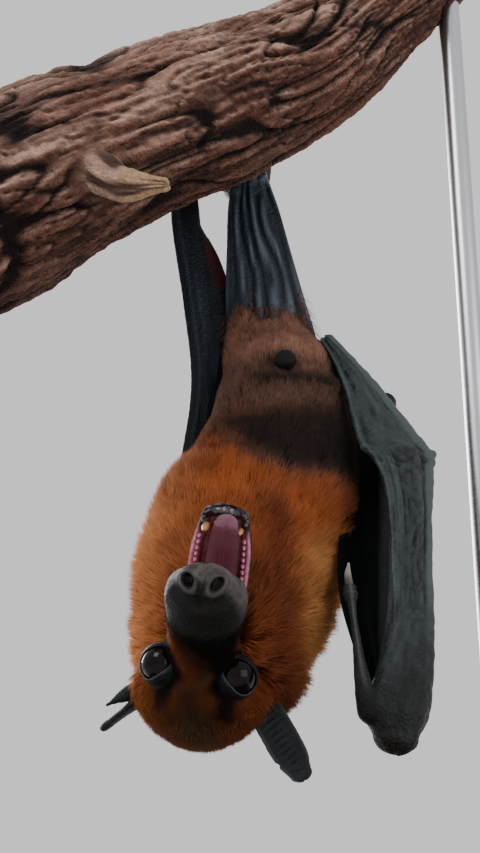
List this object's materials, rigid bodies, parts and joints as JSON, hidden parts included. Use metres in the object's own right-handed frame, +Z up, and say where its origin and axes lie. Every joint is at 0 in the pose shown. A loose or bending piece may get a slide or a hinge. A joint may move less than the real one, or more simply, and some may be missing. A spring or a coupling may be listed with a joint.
{
  "type": "fruit bat",
  "caption": "Life-size fruit bat hanging head down with its mouth open and wings folded, gripping a cut length of branch held by a flat base and plain rods.",
  "frame": {"origin": "centre of the stand base's underside", "axes": "+Z up, the bat hangs head down with its belly towards -Y and its left wing towards +X"},
  "size_m": [0.25, 0.176, 0.4054],
  "materials": {
    "coat": "dense soft fur, orange brown with a dark belly band",
    "bare_skin": "bare dark grey skin, finely wrinkled",
    "wing_membrane": "folded elastic wing skin, slate grey",
    "eye": "wet, dark brown",
    "mouth": "moist pink and mauve",
    "claw": "horn, slightly polished",
    "bark": "rough fissured bark with sawn ends",
    "stand_wood": "dark stained hardwood, satin varnish",
    "stand_steel": "brushed round bar"
  },
  "bodies": {
    "root": {"eye_left": "eye", "eye_right": "eye", "head": "coat", "tongue": "mouth", "lower_jaw": "bare_skin", "ear_left": "bare_skin", "ear_right": "bare_skin", "forearm_left": "bare_skin", "forearm_right": "bare_skin", "hand_left": "wing_membrane", "hand_right": "wing_membrane", "thumb_left": "bare_skin", "thumb_right": "bare_skin", "thumb_claw_left": "claw", "thumb_claw_right": "claw", "trunk": "coat", "groin_bump": "bare_skin", "neck": "coat", "upper_arm_left": "coat", "upper_arm_right": "coat", "thigh_left": "coat", "thigh_right": "coat", "shin_left": "bare_skin", "shin_right": "bare_skin", "branch": "bark", "foot_left": "bare_skin", "foot_right": "bare_skin", "leg_membrane": "wing_membrane", "arm_membrane_left": "wing_membrane", "arm_membrane_right": "wing_membrane", "side_membrane_right": "wing_membrane", "stand_base": "stand_wood", "stand_rod_left": "stand_steel", "stand_rod_right": "stand_steel"}
  },
  "joints": []
}
